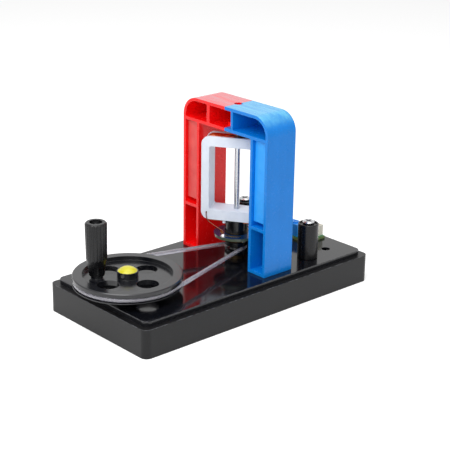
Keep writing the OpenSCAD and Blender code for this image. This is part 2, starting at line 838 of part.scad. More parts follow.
module shaft_bore(fit) {
  translate([0, 0, bobbin_bottom - overrun])
    cylinder(r = shaft_radius + fit, h = flange_height + 2 * overrun);
}

module window_cut() {
  translate([-bobbin_half - overrun, 0, window_middle]) rotate([quarter, 0, quarter])
    rounded_block(window_width, window_height, window_corner, bobbin_thickness + 2 * overrun);
}

module coil_bobbin() {
  spool_corner = flange_corner - spool_inset;
  color([0.93, 0.93, 0.92]) at_bobbin() difference() {
    union() {
      upright_slab(flange_width - 2 * spool_inset, flange_height - 2 * spool_inset,
        spool_corner, -bobbin_half, bobbin_half);
      upright_slab(flange_width, flange_height, flange_corner, -bobbin_half, -flange_inner);
      upright_slab(flange_width, flange_height, flange_corner, flange_inner, bobbin_half);
      twice_round() rotate(half_turn - lug_turn)
        translate([lug_radius, 0, bobbin_bottom - lug_height])
          cylinder(r = lug_diameter / 2, h = lug_height + overrun);
    }
    window_cut();
    shaft_bore(seat_gap);
    twice_round() translate([-bobbin_half - overrun, lead_hole_side, bobbin_bottom + lead_hole_lift])
      rotate([0, quarter, 0]) cylinder(r = lead_hole_diameter / 2, h = flange_thickness + 2 * overrun);
  }
}

module coil_pack() {
  spool_clear = spool_inset - seat_gap;
  half = flange_inner - seat_gap;
  color([0.72, 0.36, 0.16]) at_bobbin() difference() {
    upright_slab(flange_width - 2 * pack_inset, flange_height - 2 * pack_inset,
      flange_corner - pack_inset, -half, half);
    upright_slab(flange_width - 2 * spool_clear, flange_height - 2 * spool_clear,
      flange_corner - spool_clear, -half - overrun, half + overrun);
    shaft_bore(move_gap);
  }
}

// Outer layer of the coil: one wire that climbs across the spool while it goes
// round it. A ring of the tube is [N place, S place, height, heading, stretch].
// Side 0 faces +S, side 1 up, side 2 faces -S and side 3 down.
rings_per_loop = 24;
rings_per_side = 6;
arc_step = 22.5;
tube_sides = 6;

function side_point(side, step) =
  let (normal = side * quarter,
       reach = (side % 2 == 0) ? loop_half_width : loop_half_height,
       other = (side % 2 == 0) ? loop_half_height : loop_half_width,
       swing = normal + (step - 1) * arc_step)
  step == 0
    ? [reach * cos(normal), reach * sin(normal), normal]
    : [(reach - loop_corner) * cos(normal) + (other - loop_corner) * cos(normal + quarter)
         + loop_corner * cos(swing),
       (reach - loop_corner) * sin(normal) + (other - loop_corner) * sin(normal + quarter)
         + loop_corner * sin(swing),
       swing];

// Above and below the coil the turns draw aside for the shaft, and every other
// one rises to the flange's edge while its neighbours dip
function beside_shaft(place) =
  let (share = (abs(place) - turn_pitch / 4) / (loop_start - turn_pitch / 2))
  sign(place) * (shaft_side + share * (loop_start - shaft_side));

function loop_ring(i) =
  let (side = floor(i / rings_per_side) % 4,
       step = i % rings_per_side,
       place = -loop_start + turn_pitch * i / rings_per_loop,
       lift = (floor(i / rings_per_loop) % 2 == 0) ? wire_depth : -wire_dip,
       p = side_point(side, step))
  (side % 2 == 1 && step == 0)
    ? [beside_shaft(place), p[0], p[1] + sign(p[1]) * lift, p[2], 1]
    : [place, p[0], p[1], p[2], 1];

// The two ends turn inward and run square into the layers below
function wire_rings() =
  let (last = turn_count * rings_per_loop,
       first_ring = loop_ring(0),
       last_ring = loop_ring(last),
       bend = quarter / 2)
  concat(
    [[first_ring[0], first_ring[1] - wire_end, first_ring[2], first_ring[3] - quarter, 1],
     [first_ring[0], first_ring[1], first_ring[2], first_ring[3] - bend, 1 / cos(bend)]],
    [for (i = [1 : last - 1]) loop_ring(i)],
    [[last_ring[0], last_ring[1], last_ring[2], last_ring[3] + bend, 1 / cos(bend)],
     [last_ring[0], last_ring[1] - wire_end, last_ring[2], last_ring[3] + quarter, 1]]);

function ring_corners(ring) =
  [for (k = [0 : tube_sides - 1])
    let (turn = k * 2 * half_turn / tube_sides,
         out = wire_diameter / 2 * ring[4] * cos(turn),
         along = wire_diameter / 2 * sin(turn))
    [ring[0] + along, ring[1] + out * cos(ring[3]), ring[2] + out * sin(ring[3])]];

function tube_points(rings) = [for (ring = rings) each ring_corners(ring)];

function tube_faces(count) = concat(
  [for (k = [1 : tube_sides - 2]) [0, k, k + 1]],
  [for (i = [0 : count - 2], k = [0 : tube_sides - 1], half = [0, 1])
    let (a = i * tube_sides + k,
         b = i * tube_sides + (k + 1) % tube_sides)
    half == 0 ? [a, a + tube_sides, b] : [b, a + tube_sides, b + tube_sides]],
  [for (k = [1 : tube_sides - 2])
    let (start = (count - 1) * tube_sides) [start, start + k + 1, start + k]]);

function centre(ring) = [ring[0], ring[1], ring[2]];

// Points along the wire's middle line, several between one ring and the next
points_per_ring = 4;
function wire_points(rings) =
  [for (i = [0 : len(rings) - 2], part = [0 : points_per_ring - 1])
    let (from = centre(rings[i]), to = centre(rings[i + 1]))
    from + (to - from) * part / points_per_ring];

// Least gap between stretches of the wire that lie at least half a loop apart
function least_gap(points) =
  let (apart = points_per_ring * rings_per_loop / 2)
  min([for (i = [0 : len(points) - 1 - apart], j = [i + apart : len(points) - 1])
    norm(points[i] - points[j])]) - wire_diameter;

module coil_winding() {
  rings = wire_rings();
  echo("least gap of the winding to itself", least_gap(wire_points(rings)));
  color([0.8, 0.42, 0.18]) at_bobbin() translate([0, 0, bobbin_middle])
    polyhedron(points = tube_points(rings), faces = tube_faces(len(rings)));
}

// Leads run from the flange holes down to the solder joints
module coil_leads() {
  radius = wire_diameter / 2;
  out = -bobbin_half - wire_diameter;
  start = -flange_inner - seat_gap;
  hole_z = bobbin_bottom + lead_hole_lift;
  joint_turn = solder_turn - bobbin_turn;
  joint = [solder_radius * cos(joint_turn), solder_radius * sin(joint_turn), disc_top + solder_diameter];
  color([0.75, 0.4, 0.18]) at_bobbin() twice_round() wire_path([
    [start, lead_hole_side, hole_z],
    [out, lead_hole_side, hole_z],
    [out, lead_hole_side - lead_hole_diameter, bobbin_bottom - wire_diameter],
    joint,
    [joint.x, joint.y, disc_top + seat_gap]
  ], radius);
}

module contact_board() {
  color([0.05, 0.2, 0.16]) at_rotor() translate([0, 0, disc_bottom])
    ring(board_disc_diameter / 2, shaft_radius + seat_gap, board_disc_thickness);
}

module solder_joints() {
  radius = solder_diameter / 2;
  color([0.8, 0.8, 0.82]) at_rotor() twice_round() rotate(solder_turn)
    translate([solder_radius, 0, disc_top]) rotate_extrude() difference() {
      intersection() {
        circle(r = radius);
        square([radius, radius]);
      }
      square([wire_diameter / 2 + seat_gap, radius + overrun]);
    }
}

// Brushes

module leaf_slot() {
  width = leaf_thickness + 2 * seat_gap;
  bottom = leaf_bottom - seat_gap;
  translate([block_x - overrun, leaf_line - width / 2, bottom])
    cube([slot_depth + overrun, width, block_top - bottom + overrun]);
}

module brush_block() {
  color([0.06, 0.06, 0.065]) difference() {
    translate([block_x, -block_width / 2, plate_top])
      cube([block_length, block_width, block_top - plate_top]);
    both_sides() {
      leaf_slot();
      translate([wire_x, leaf_line, plate_top - overrun])
        cylinder(r = output_wire_diameter / 2 + seat_gap, h = leaf_bottom - plate_top + overrun);
      translate([block_screw_x, block_screw_y, plate_top - overrun])
        cylinder(r = screw_radius + seat_gap, h = screw_reach + 2 * overrun);
    }
  }
}

// Leaf seen from above: a straight strip that ends in an open curl beside the shaft
module leaf_outline() {
  curl_opening = 30;
  corner = 2 * curl_radius;
  tail = block_x + slot_depth - seat_gap;
  translate([rotor_x, leaf_line - leaf_thickness / 2])
    square([tail - rotor_x, leaf_thickness]);
  translate([rotor_x, leaf_line + curl_radius]) difference() {
    circle(r = curl_radius + leaf_thickness / 2);
    circle(r = curl_radius - leaf_thickness / 2);
    polygon([[0, 0], [0, -corner], [corner, -corner], [corner, corner * sin(curl_opening)]]);
  }
}

module brush_leaves() {
  color([0.82, 0.8, 0.72]) both_sides() translate([0, 0, leaf_bottom])
    linear_extrude(leaf_height) leaf_outline();
}

module output_wires() {
  radius = output_wire_diameter / 2;
  top = [wire_x, leaf_line, leaf_bottom - 2 * seat_gap];
  turn = [wire_x, leaf_line, wire_level];
  post = [post_x, post_y, wire_level];
  reach = norm(post - turn);
  stop = turn + (post - turn) * (reach - washer_diameter / 2 - seat_gap) / reach;
  color([0.75, 0.1, 0.08]) both_sides() wire_path([top, turn, stop], radius);
}

// Arch

module arch_outline() {
  difference() {
    union() {
      translate([0, plate_top]) square([half_arch, arch_height - arch_corner]);
      translate([0, plate_top]) square([half_arch - arch_corner, arch_height]);
      translate([half_arch - arch_corner, arch_top - arch_corner]) circle(r = arch_corner);
    }
    translate([-overrun, plate_top - overrun])
      square([half_span + overrun, beam_bottom - plate_top + overrun]);
    translate([-half_arch, 0]) square([half_arch, arch_top + overrun]);
  }
}

// Stands an outline drawn across the tray upright and gives it a depth
module along_arch(from, depth) {
  translate([from, 0, 0]) rotate([quarter, 0, quarter]) linear_extrude(depth) children();
}

module leg_pocket(bottom, top) {
  translate([half_span + arch_wall, bottom]) square([leg_pocket_width, top - bottom]);
}

module beam_pocket(rib_start, rib_end) {
  inner_corner = arch_corner - arch_wall;
  bottom = beam_bottom + arch_wall;
  side = half_arch - arch_wall;
  top = arch_top - arch_wall;
  translate([-overrun, bottom]) square([rib_start + overrun, top - bottom]);
  translate([rib_end, bottom]) square([side - rib_end, arch_top - arch_corner - bottom]);
  translate([rib_end, bottom]) square([side - inner_corner - rib_end, top - bottom]);
  translate([side - inner_corner, top - inner_corner]) intersection() {
    circle(r = inner_corner);
    square([inner_corner, inner_corner]);
  }
}

// One half of the arch, drawn on the +Y side of the seam
module arch_half(rib_start, rib_thickness) {
  cut_depth = pocket_depth + overrun;
  cut_front = arch_front - overrun;
  union() {
    difference() {
      along_arch(arch_front, arch_depth) arch_outline();
      along_arch(cut_front, cut_depth) {
        leg_pocket(plate_top + arch_wall, shelf_z);
        leg_pocket(shelf_z + arch_wall, beam_bottom);
        beam_pocket(rib_start, rib_start + rib_thickness);
      }
    }
    along_arch(arch_front + ledge_setback, pocket_depth - ledge_setback + seat_gap)
      leg_pocket(shelf_z + arch_wall, shelf_z + arch_wall + ledge_height);
    translate([arch_screw_x, leg_middle, plate_top])
      cylinder(r = screw_boss_radius, h = screw_reach + boss_wall);
    translate([arch_front + peg_setback, leg_middle, plate_top - peg_length])
      cylinder(r = peg_diameter / 2, h = peg_length + arch_wall / 2);
  }
}

module arch_cuts() {
  translate([arch_screw_x, leg_middle, plate_top - overrun])
    cylinder(r = screw_radius + seat_gap, h = screw_reach + 2 * overrun);
  at_rotor() {
    translate([0, 0, beam_bottom - overrun])
      cylinder(r = upper_bearing_diameter / 2 + seat_gap, h = upper_seat - beam_bottom + 2 * overrun);
    translate([0, 0, tongue_roof - tongue_wall - overrun])
      cylinder(r = sight_hole_diameter / 2, h = arch_top - tongue_roof + tongue_wall + 2 * overrun);
  }
}

// Open-fronted box that crosses the seam and slides into the other half
module tongue() {
  front = arch_front + tongue_setback;
  depth = pocket_depth - tongue_setback - seat_gap;
  height = tongue_roof - tongue_floor;
  difference() {
    union() {
      translate([front, -tongue_reach, tongue_floor]) cube([depth, tongue_reach, height]);
      translate([front, 0, beam_bottom + arch_wall / 2])
        cube([pocket_depth - tongue_setback + arch_back / 2, tongue_root, beam_height - arch_wall]);
    }
    translate([front - overrun, -tongue_reach + tongue_wall, tongue_floor + tongue_wall])
      cube([depth - tongue_wall + overrun, tongue_reach + tongue_root, height - 2 * tongue_wall]);
  }
}

module arch_red() {
  color([0.85, 0.07, 0.07]) difference() {
    union() {
      arch_half(red_rib_start, red_rib_thickness);
      tongue();
    }
    arch_cuts();
  }
}

module arch_blue() {
  color([0.1, 0.45, 0.85]) mirror([0, 1, 0]) difference() {
    arch_half(blue_rib_start, blue_rib_thickness);
    arch_cuts();
  }
}

module magnet() {
  bottom = shelf_z + arch_wall + ledge_height + seat_gap;
  translate([arch_front + magnet_setback, half_span + arch_wall + magnet_gap, bottom])
    cube([pocket_depth - magnet_setback - magnet_gap, leg_pocket_width - 2 * magnet_gap,
      beam_bottom - magnet_gap - bottom]);
}

module magnet_red() {
  color([0.9, 0.25, 0.22]) magnet();
}

module magnet_blue() {
  color([0.25, 0.62, 0.95]) mirror([0, 1, 0]) magnet();
}

// Bearings

module upper_bearing() {
  bore = shaft_radius + running_fit;
  color([0.8, 0.66, 0.35]) at_rotor() {
    translate([0, 0, beam_bottom]) ring(upper_bearing_diameter / 2, bore, upper_collar_top - beam_bottom);
    translate([0, 0, upper_seat + seat_gap])
      ring(upper_collar_diameter / 2, bore, upper_collar_height);
  }
}

module lower_bearing() {
  color([0.8, 0.66, 0.35]) at_rotor() difference() {
    union() {
      translate([0, 0, bearing_bottom]) cylinder(r = lower_bearing_diameter / 2, h = lower_bearing_depth);
      translate([0, 0, plate_top])
        cylinder(r = lower_collar_diameter / 2, h = pulley_lift - move_gap);
    }
    translate([0, 0, bearing_bottom + bearing_floor])
      cylinder(r = shaft_radius + running_fit, h = lower_bearing_depth + pulley_lift);
  }
}

module plate_screws() {
  color([0.6, 0.6, 0.62]) for (place = plate_screw_places)
    translate([place.x, place.y, plate_under])
      rising_screw(screw_radius, screw_head_diameter, screw_head_height, plate_rise + screw_reach);
}

// Posts

module post() {
  soften = 0.3;
  translate([post_x, post_y, plate_top]) difference() {
    turned(post_diameter / 2, post_height, soften);
    translate([0, 0, post_height - post_dish])
      cylinder(r = post_diameter / 2 - post_rim, h = post_dish + overrun);
    translate([0, 0, -overrun])
      cylinder(r = post_screw_diameter / 2 + seat_gap, h = post_height + 2 * overrun);
  }
}

module post_front() {
  color([0.06, 0.06, 0.065]) mirror([0, 1, 0]) post();
}

module post_back() {
  color([0.06, 0.06, 0.065]) post();
}

module post_screws() {
  head_z = plate_top + post_height - post_dish;
  tail = 1;
  shank = head_z - plate_under + washer_thickness + nut_height + tail;
  color([0.8, 0.81, 0.83]) both_sides() translate([post_x, post_y, head_z])
    falling_screw(post_screw_diameter / 2, post_head_diameter, post_head_height, shank);
}

module post_nuts() {
  bore = post_screw_diameter / 2 + seat_gap;
  nut_sides = 6;
  color([0.72, 0.73, 0.75]) both_sides()
    translate([post_x, post_y, plate_under - washer_thickness - nut_height]) difference() {
      union() {
        cylinder(r = nut_diameter / 2, h = nut_height + overrun, $fn = nut_sides);
        translate([0, 0, nut_height]) cylinder(r = washer_diameter / 2, h = washer_thickness);
      }
      translate([0, 0, -overrun])
        cylinder(r = bore, h = nut_height + washer_thickness + 2 * overrun);
    }
}

// Circuit board

circuit_top = plate_top + circuit_thickness;
socket_x = circuit_x + circuit_length / 2 - socket_length;
socket_y = -circuit_width / 2 + board_screw_inset - socket_wall;
trimmer_x = circuit_x - circuit_length / 2 + trimmer_inset;
trimmer_y = trimmer_shift - trimmer_width / 2;

module circuit_board() {
  color([0.1, 0.42, 0.24]) difference() {
    translate([circuit_x - circuit_length / 2, -circuit_width / 2, plate_top])
      cube([circuit_length, circuit_width, circuit_thickness]);
    both_sides() translate([board_screw_x, board_screw_y, plate_top - overrun])
      cylinder(r = board_screw_diameter / 2 + seat_gap, h = circuit_thickness + 2 * overrun);
  }
}

module board_socket() {
  floor_thickness = 2 * socket_wall;
  color([0.93, 0.9, 0.82]) translate([socket_x, socket_y, circuit_top]) difference() {
    cube([socket_length, socket_width, socket_height]);
    translate([socket_wall, socket_wall, floor_thickness])
      cube([socket_length - 2 * socket_wall, socket_width - 2 * socket_wall, socket_height]);
    socket_pin_places() translate([-pin_width / 2 - seat_gap, -pin_width / 2 - seat_gap, -overrun])
      cube([pin_width + 2 * seat_gap, pin_width + 2 * seat_gap, floor_thickness + 2 * overrun]);
  }
}

module socket_pin_places() {
  for (side = [-1, 1])
    translate([socket_length / 2, socket_width / 2 + side * pin_pitch / 2, 0]) children();
}

module board_pins() {
  color([0.8, 0.8, 0.82]) translate([socket_x, socket_y, circuit_top]) socket_pin_places()
    translate([-pin_width / 2, -pin_width / 2, seat_gap])
      cube([pin_width, pin_width, socket_height - socket_wall]);
}

module board_trimmer() {
  dial_radius = trimmer_length / 3;
  dial_height = 0.8;
  color([0.12, 0.35, 0.7]) translate([trimmer_x, trimmer_y, circuit_top]) difference() {
    union() {
      cube([trimmer_length, trimmer_width, trimmer_height]);
      translate([trimmer_length / 2, trimmer_width / 2, trimmer_height - overrun])
        cylinder(r = dial_radius, h = dial_height + overrun);
    }
    translate([trimmer_length / 2, trimmer_width / 2, trimmer_height + dial_height])
      cross_recess(dial_radius, dial_height);
  }
}

module board_screws() {
  color([0.75, 0.76, 0.78]) both_sides() translate([board_screw_x, board_screw_y, circuit_top])
    falling_screw(board_screw_diameter / 2, board_head_diameter, board_head_height,
      circuit_thickness + board_screw_depth);
}

base_shell();
base_plate();
crank_wheel();
wheel_axle();
axle_spacer();
axle_screw();
hub_cap();
handle_grip();
handle_pin();
drive_belt();
rotor_pulley();
commutator_segments();
rotor_shaft();
rotor_hub();
coil_bobbin();
coil_pack();
coil_winding();
coil_leads();
contact_board();
solder_joints();
brush_block();
brush_leaves();
arch_red();
arch_blue();
magnet_red();
magnet_blue();
upper_bearing();
lower_bearing();
plate_screws();
post_front();
post_back();
post_screws();
post_nuts();
output_wires();
circuit_board();
board_socket();
board_pins();
board_trimmer();
board_screws();
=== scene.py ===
"""Looks of the hand-cranked induction demonstrator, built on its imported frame.

Places and sizes are in metres on the frame's own axes: +X runs from the crank
towards the terminal posts, +Y towards the red leg, +Z up.
"""
import math

import bmesh
import bpy
from mathutils import Matrix, Vector


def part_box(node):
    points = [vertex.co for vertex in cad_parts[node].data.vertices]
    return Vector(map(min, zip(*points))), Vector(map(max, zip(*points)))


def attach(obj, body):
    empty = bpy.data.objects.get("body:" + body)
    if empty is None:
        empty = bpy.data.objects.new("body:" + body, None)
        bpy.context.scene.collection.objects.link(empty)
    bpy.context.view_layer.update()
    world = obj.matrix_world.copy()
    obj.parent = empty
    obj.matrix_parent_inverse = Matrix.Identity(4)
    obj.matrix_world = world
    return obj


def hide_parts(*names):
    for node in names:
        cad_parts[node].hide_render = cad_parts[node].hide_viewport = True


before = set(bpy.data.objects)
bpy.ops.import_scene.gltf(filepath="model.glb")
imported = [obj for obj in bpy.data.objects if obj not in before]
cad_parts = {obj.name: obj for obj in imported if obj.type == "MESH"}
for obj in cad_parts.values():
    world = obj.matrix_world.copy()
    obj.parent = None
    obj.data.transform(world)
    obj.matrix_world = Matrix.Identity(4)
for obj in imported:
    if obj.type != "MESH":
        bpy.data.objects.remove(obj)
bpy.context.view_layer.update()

MM = 0.001

# Camera of the photograph: where it looks from and to, and its optics in pixels
CAMERA_AZIMUTH = math.radians(-41.087)
CAMERA_ELEVATION = math.radians(20.107)
CAMERA_ROLL = math.radians(0.430)
CAMERA_DISTANCE = 764.9 * MM
CAMERA_TARGET = Vector((20.02, 35.39, 27.71)) * MM
FOCAL_PIXELS = 1265.5
PICTURE_PIXELS = 450
OPTICAL_CENTRE = (200.0, 225.8)
SENSOR_MM = 36.0

# Nearest and farthest distances that the camera shows
CLIP_NEAR = 0.01
CLIP_FAR = 10

# Soft lamps: degrees round the object from its front, degrees up, metres away,
# metres wide and watts
LAMPS = {
    "key_lamp": (-75, 50, 0.9, 0.6, 4.5),
    "top_lamp": (0, 85, 0.9, 0.8, 3.0),
    "fill_lamp": (-50, 12, 0.9, 0.6, 1.2),
}
LAMP_AIM = Vector((0, 0, 40)) * MM

# Level of the world's own light, and the floor's side, grey and added white
WORLD_LEVEL = 0.6
FLOOR_SIDE = 2.4
FLOOR_GREY = 0.85
FLOOR_LIFT = 0.42

# Sockets of a Mix node that mixes colours
MIX_SHARE, MIX_BASE, MIX_OVER, MIX_RESULT = 0, 6, 7, 2


def linear(red, green, blue):
    """A colour given as 0 to 255 screen values, as the linear values shaders take."""
    def one(value):
        share = value / 255
        return share / 12.92 if share <= 0.04045 else ((share + 0.055) / 1.055) ** 2.4
    return (one(red), one(green), one(blue), 1.0)


def view_back(azimuth, elevation):
    """Unit vector from the target towards a camera."""
    flat = math.cos(elevation)
    return Vector((math.sin(azimuth) * flat, -math.cos(azimuth) * flat, math.sin(elevation)))


def turned_axes(back, roll):
    """Camera matrix whose view runs against back, rolled about it."""
    right = Vector((0, 0, 1)).cross(back).normalized()
    up = back.cross(right)
    rolled_right = math.cos(roll) * right + math.sin(roll) * up
    rolled_up = -math.sin(roll) * right + math.cos(roll) * up
    return Matrix((rolled_right, rolled_up, back)).transposed().to_4x4()


def add_camera():
    data = bpy.data.cameras.new("camera")
    data.sensor_width = SENSOR_MM
    data.lens = FOCAL_PIXELS / PICTURE_PIXELS * SENSOR_MM
    data.shift_x = (PICTURE_PIXELS / 2 - OPTICAL_CENTRE[0]) / PICTURE_PIXELS
    data.shift_y = (OPTICAL_CENTRE[1] - PICTURE_PIXELS / 2) / PICTURE_PIXELS
    data.clip_start = CLIP_NEAR
    data.clip_end = CLIP_FAR
    camera = bpy.data.objects.new("camera", data)
    bpy.context.scene.collection.objects.link(camera)
    back = view_back(CAMERA_AZIMUTH, CAMERA_ELEVATION)
    camera.matrix_world = (
        Matrix.Translation(CAMERA_TARGET + CAMERA_DISTANCE * back)
        @ turned_axes(back, CAMERA_ROLL)
    )
    bpy.context.scene.camera = camera


def add_lamp(name, azimuth, elevation, distance, size, power):
    """A square soft lamp that looks at the object from a direction."""
    data = bpy.data.lights.new(name, "AREA")
    data.shape = "SQUARE"
    data.size = size
    data.energy = power
    lamp = bpy.data.objects.new(name, data)
    bpy.context.scene.collection.objects.link(lamp)
    back = view_back(math.radians(azimuth), math.radians(elevation))
    lamp.matrix_world = Matrix.Translation(LAMP_AIM + distance * back) @ turned_axes(back, 0)


def background_rays(nodes, links):
    """1 for the rays that should see the backdrop's own white, 0 for those that light the object."""
    path = nodes.new("ShaderNodeLightPath")
    seen = path.outputs["Is Camera Ray"]
    for kind in ("Is Glossy Ray", "Is Transmission Ray"):
        either = nodes.new("ShaderNodeMath")
        either.operation = "MAXIMUM"
        links.new(seen, either.inputs[0])
        links.new(path.outputs[kind], either.inputs[1])
        seen = either.outputs[0]
    return seen


def set_world():
    """Even soft light on the object, and plain white where the world itself is seen."""
    world = bpy.data.worlds.new("studio")
    bpy.context.scene.world = world
    world.use_nodes = True
    nodes = world.node_tree.nodes
    links = world.node_tree.links
    nodes.clear()
    out = nodes.new("ShaderNodeOutputWorld")
    lit = nodes.new("ShaderNodeBackground")
    lit.inputs["Strength"].default_value = WORLD_LEVEL
    shown = nodes.new("ShaderNodeBackground")
    shown.inputs["Color"].default_value = (1, 1, 1, 1)
    shown.inputs["Strength"].default_value = 1.0
    mix = nodes.new("ShaderNodeMixShader")
    links.new(background_rays(nodes, links), mix.inputs[0])
    links.new(lit.outputs[0], mix.inputs[1])
    links.new(shown.outputs[0], mix.inputs[2])
    links.new(mix.outputs[0], out.inputs["Surface"])


def add_floor():
    """Pale floor that takes the object's shadow and reads as white around it."""
    mesh = bpy.data.meshes.new("floor")
    half = FLOOR_SIDE / 2
    corners = [(-half, -half, 0), (half, -half, 0), (half, half, 0), (-half, half, 0)]
    mesh.from_pydata(corners, [], [(0, 1, 2, 3)])
    floor = bpy.data.objects.new("floor", mesh)
    bpy.context.scene.collection.objects.link(floor)
    material = bpy.data.materials.new("floor_paper")
    material.use_nodes = True
    nodes = material.node_tree.nodes
    links = material.node_tree.links
    nodes.clear()
    out = nodes.new("ShaderNodeOutputMaterial")
    paper = nodes.new("ShaderNodeBsdfDiffuse")
    paper.inputs["Color"].default_value = (FLOOR_GREY, FLOOR_GREY, FLOOR_GREY, 1)
    glow = nodes.new("ShaderNodeEmission")
    level = nodes.new("ShaderNodeMath")
    level.operation = "MULTIPLY"
    level.inputs[1].default_value = FLOOR_LIFT
    both = nodes.new("ShaderNodeAddShader")
    links.new(background_rays(nodes, links), level.inputs[0])
    links.new(level.outputs[0], glow.inputs["Strength"])
    links.new(paper.outputs[0], both.inputs[0])
    links.new(glow.outputs[0], both.inputs[1])
    links.new(both.outputs[0], out.inputs["Surface"])
    mesh.materials.append(material)


class Surface:
    """A Principled material that is built up feature by feature."""

    BEVEL_SAMPLES = 6

    def __init__(self, name, colour, roughness, metallic=0.0):
        self.material = bpy.data.materials.new(name)
        self.material.use_nodes = True
        self.nodes = self.material.node_tree.nodes
        self.links = self.material.node_tree.links
        self.nodes.clear()
        self.shader = self.nodes.new("ShaderNodeBsdfPrincipled")
        out = self.nodes.new("ShaderNodeOutputMaterial")
        self.join(self.shader.outputs["BSDF"], out.inputs["Surface"])
        self.place = self.nodes.new("ShaderNodeTexCoord").outputs["Object"]
        self.shader.inputs["Base Color"].default_value = colour
        self.shader.inputs["Roughness"].default_value = roughness
        self.shader.inputs["Metallic"].default_value = metallic
        self.colour = None
        self.base = colour
        self.normal = None
        self.rounded = None

    def join(self, output, socket):
        self.links.new(output, socket)

    def set(self, **values):
        """Constant values on the shader's own sockets; underscores stand for spaces."""
        for name, value in values.items():
            self.shader.inputs[name.replace("_", " ")].default_value = value
        return self

    def stretched(self, stretch):
        """Object coordinates scaled along each axis, so that noise comes out drawn."""
        node = self.nodes.new("ShaderNodeMapping")
        node.inputs["Scale"].default_value = stretch
        self.join(self.place, node.inputs["Vector"])
        return node.outputs[0]

    def noise(self, feature, detail=3.0, roughness=0.55, stretch=None):
        """Noise whose features are about that many millimetres wide."""
        node = self.nodes.new("ShaderNodeTexNoise")
        node.inputs["Scale"].default_value = 1 / (feature * MM)
        node.inputs["Detail"].default_value = detail
        node.inputs["Roughness"].default_value = roughness
        self.join(self.stretched(stretch) if stretch else self.place, node.inputs["Vector"])
        return node.outputs["Fac"]

    def ranged(self, value, low, high, new_low=0.0, new_high=1.0):
        """A value between low and high carried over to between the new ones."""
        node = self.nodes.new("ShaderNodeMapRange")
        node.inputs["From Min"].default_value = low
        node.inputs["From Max"].default_value = high
        node.inputs["To Min"].default_value = new_low
        node.inputs["To Max"].default_value = new_high
        self.join(value, node.inputs["Value"])
        return node.outputs["Result"]

    def maths(self, operation, first, second=0.0):
        node = self.nodes.new("ShaderNodeMath")
        node.operation = operation
        for index, value in enumerate((first, second)):
            if isinstance(value, (int, float)):
                node.inputs[index].default_value = value
            else:
                self.join(value, node.inputs[index])
        return node.outputs[0]

    def tint(self, mask, colour):
        """Lays a colour over what is there, as far as the mask says."""
        node = self.nodes.new("ShaderNodeMix")
        node.data_type = "RGBA"
        self.join(mask, node.inputs[MIX_SHARE])
        if self.colour is None:
            node.inputs[MIX_BASE].default_value = self.base
        else:
            self.join(self.colour, node.inputs[MIX_BASE])
        node.inputs[MIX_OVER].default_value = colour
        self.colour = node.outputs[MIX_RESULT]
        self.join(self.colour, self.shader.inputs["Base Color"])

    def clouds(self, feature, low, high, share, colour, stretch=None):
        """Lays a colour in soft patches, up to a share, where a noise runs from low to high."""
        patches = self.ranged(self.noise(feature, stretch=stretch), low, high, new_high=share)
        self.tint(patches, colour)

    def mottle(self, feature, share, shade, stretch=None):
        """Faint cloudiness of the material: the base colour times a shade in soft patches."""
        colour = paler(self.base, shade, lift=0.0)
        self.clouds(feature, low=0.35, high=0.7, share=share, colour=colour, stretch=stretch)

    def soften(self, radius):
        """Rounds the look of sharp edges by that many millimetres."""
        node = self.nodes.new("ShaderNodeBevel")
        node.samples = self.BEVEL_SAMPLES
        node.inputs["Radius"].default_value = radius * MM
        self.rounded = node.outputs[0]
        self.normal = self.rounded
        self.join(self.normal, self.shader.inputs["Normal"])

    def edges(self):
        """1 on rounded edges, 0 on faces. It needs soften() first."""
        flat = self.nodes.new("ShaderNodeNewGeometry").outputs["Normal"]
        dot = self.nodes.new("ShaderNodeVectorMath")
        dot.operation = "DOT_PRODUCT"
        self.join(flat, dot.inputs[0])
        self.join(self.rounded, dot.inputs[1])
        return self.ranged(dot.outputs["Value"], low=0.995, high=0.9)

    def wear_and_edge_highlight(self, share, shade):
        """Paler edges in patches: rubbed wear, and with a bright shade also a painted highlight along
        the edges.
        """
        patches = self.ranged(self.noise(2.5), low=0.4, high=0.65, new_high=share)
        self.tint(self.maths("MULTIPLY", self.edges(), patches), shade)

    def scratches(self, share, shade):
        """Fine wipe marks in two directions."""
        for stretch in ((1, 16, 4), (13, 2, 3)):
            wipes = self.noise(4.0, detail=5, roughness=0.6, stretch=stretch)
            self.tint(self.ranged(wipes, low=0.64, high=0.7, new_high=share), shade)

    def height_of(self, vector):
        """Z of a vector."""
        split = self.nodes.new("ShaderNodeSeparateXYZ")
        self.join(vector, split.inputs[0])
        return split.outputs["Z"]

    def upward(self):
        """Z of the unit normal: 1 on faces that look up, 0 on upright ones, -1 below."""
        return self.height_of(self.nodes.new("ShaderNodeTexCoord").outputs["Normal"])

    def upright_faces(self):
        """1 on faces that stand upright, 0 on flat ones."""
        return self.ranged(self.maths("ABSOLUTE", self.upward()), low=0.7, high=0.5)

    def high_tops(self, height, fade=4):
        """1 on faces that look up above height plus fade in millimetres, 0 below height."""
        upward = self.ranged(self.upward(), low=0.35, high=0.95)
        above = self.ranged(self.height_of(self.place), height * MM, (height + fade) * MM)
        return self.maths("MULTIPLY", upward, above)

    def relief(self, height, depth):
        """Bump of that many millimetres from a height between 0 and 1."""
        node = self.nodes.new("ShaderNodeBump")
        node.inputs["Strength"].default_value = 1.0
        node.inputs["Distance"].default_value = depth * MM
        self.join(height, node.inputs["Height"])
        if self.normal is not None:
            self.join(self.normal, node.inputs["Normal"])
        self.normal = node.outputs[0]
        self.join(self.normal, self.shader.inputs["Normal"])

    def dull(self, value, low, high):
        """Roughness that follows a value, from low at 0 to high at 1."""
        self.join(self.ranged(value, 0.0, 1.0, low, high), self.shader.inputs["Roughness"])


def paler(colour, factor, lift=0.02):
    """A linear colour times a factor, plus a little white."""
    return tuple(min(1.0, value * factor + lift) for value in colour[:3]) + (1.0,)


